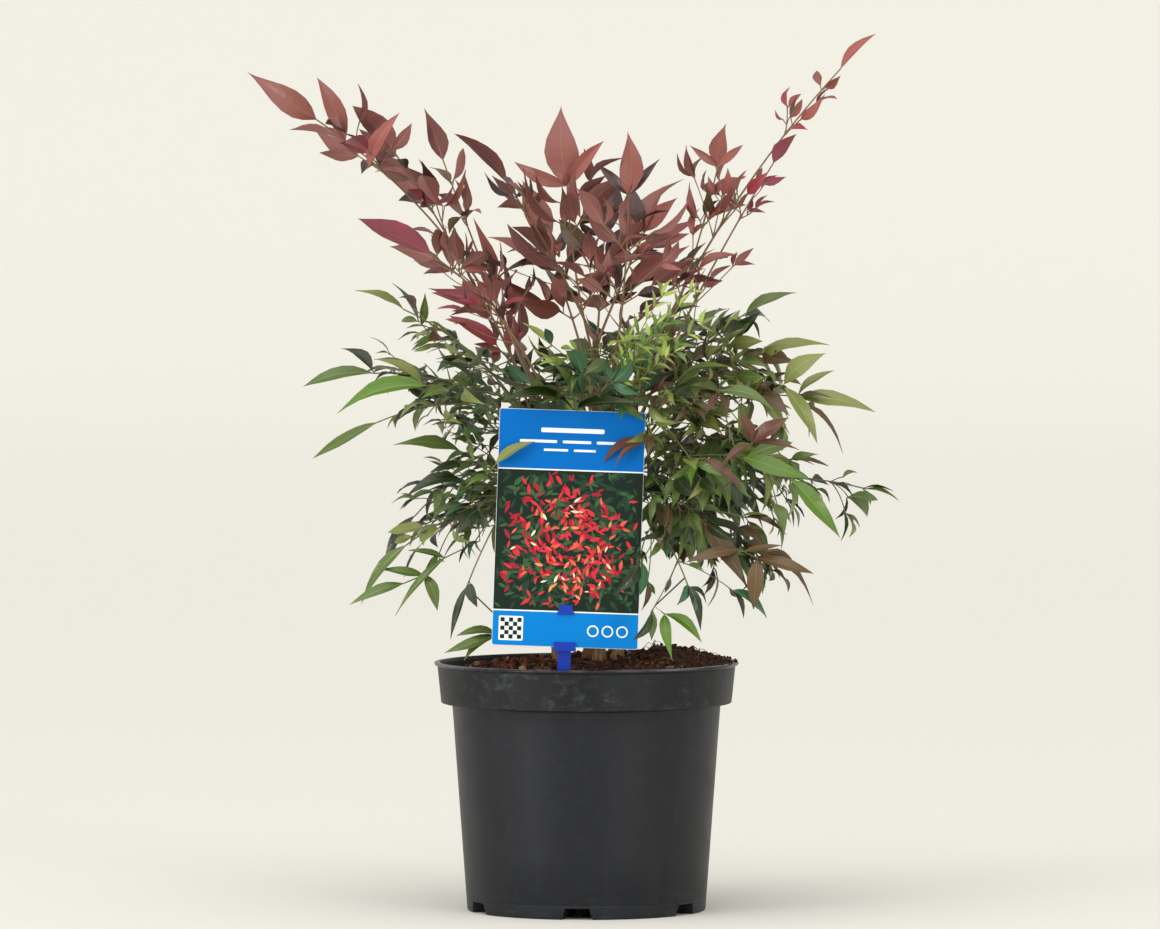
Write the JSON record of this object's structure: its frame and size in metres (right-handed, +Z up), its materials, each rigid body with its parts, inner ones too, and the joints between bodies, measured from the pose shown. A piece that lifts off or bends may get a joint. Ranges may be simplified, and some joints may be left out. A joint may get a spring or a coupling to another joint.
{
  "type": "potted heavenly bamboo",
  "caption": "Heavenly bamboo shrub in a black nursery pot: a clump of canes with red young sprays above and green ones below, and a plain plant label.",
  "frame": {"origin": "centre of the pot's flat underside, on the ground", "axes": "+Z up, -Y towards the label and the viewer, +X to the viewer's right"},
  "size_m": [0.4038, 0.2512, 0.5474],
  "materials": {
    "black_plastic": "satin moulded plastic",
    "potting_soil": "moist and crumbly",
    "label_card": "smooth printed card",
    "label_stake": "glossy moulded plastic",
    "cane_bark": "dry bark",
    "red_leaf": "satin leaf",
    "green_leaf": "glossy leaf",
    "dark_leaf": "glossy leaf"
  },
  "bodies": {
    "root": {"cane_1": "cane_bark", "cane_2": "cane_bark", "cane_3": "cane_bark", "cane_4": "cane_bark", "cane_5": "cane_bark", "cane_6": "cane_bark", "label_card": "label_card", "label_stake": "label_stake", "plume_01": "red_leaf", "plume_02": "red_leaf", "plume_03": "red_leaf", "plume_04": "red_leaf", "plume_05": "red_leaf", "plume_06": "red_leaf", "plume_07": "red_leaf", "plume_08": "red_leaf", "plume_09": "red_leaf", "plume_10": "red_leaf", "plume_11": "red_leaf", "plume_12": "red_leaf", "plume_13": "red_leaf", "plume_14": "red_leaf", "plume_15": "red_leaf", "pot": "black_plastic", "shoulder_01": "green_leaf", "shoulder_02": "green_leaf", "shoulder_03": "green_leaf", "shoulder_04": "green_leaf", "shoulder_05": "green_leaf", "shoulder_06": "green_leaf", "shoulder_07": "green_leaf", "shoulder_08": "green_leaf", "shoulder_09": "green_leaf", "shoulder_10": "green_leaf", "shoulder_11": "green_leaf", "shoulder_12": "green_leaf", "shoulder_13": "green_leaf", "shoulder_14": "green_leaf", "shoulder_15": "green_leaf", "shoulder_16": "green_leaf", "shoulder_17": "green_leaf", "shoulder_18": "green_leaf", "skirt_01": "dark_leaf", "skirt_02": "dark_leaf", "skirt_03": "dark_leaf", "skirt_04": "dark_leaf", "skirt_05": "dark_leaf", "skirt_06": "dark_leaf", "skirt_07": "dark_leaf", "skirt_08": "dark_leaf", "skirt_09": "dark_leaf", "skirt_10": "dark_leaf", "skirt_11": "dark_leaf", "skirt_12": "dark_leaf", "skirt_13": "dark_leaf", "skirt_14": "dark_leaf", "skirt_15": "dark_leaf", "skirt_16": "dark_leaf", "skirt_17": "dark_leaf", "soil": "potting_soil"}
  },
  "joints": []
}
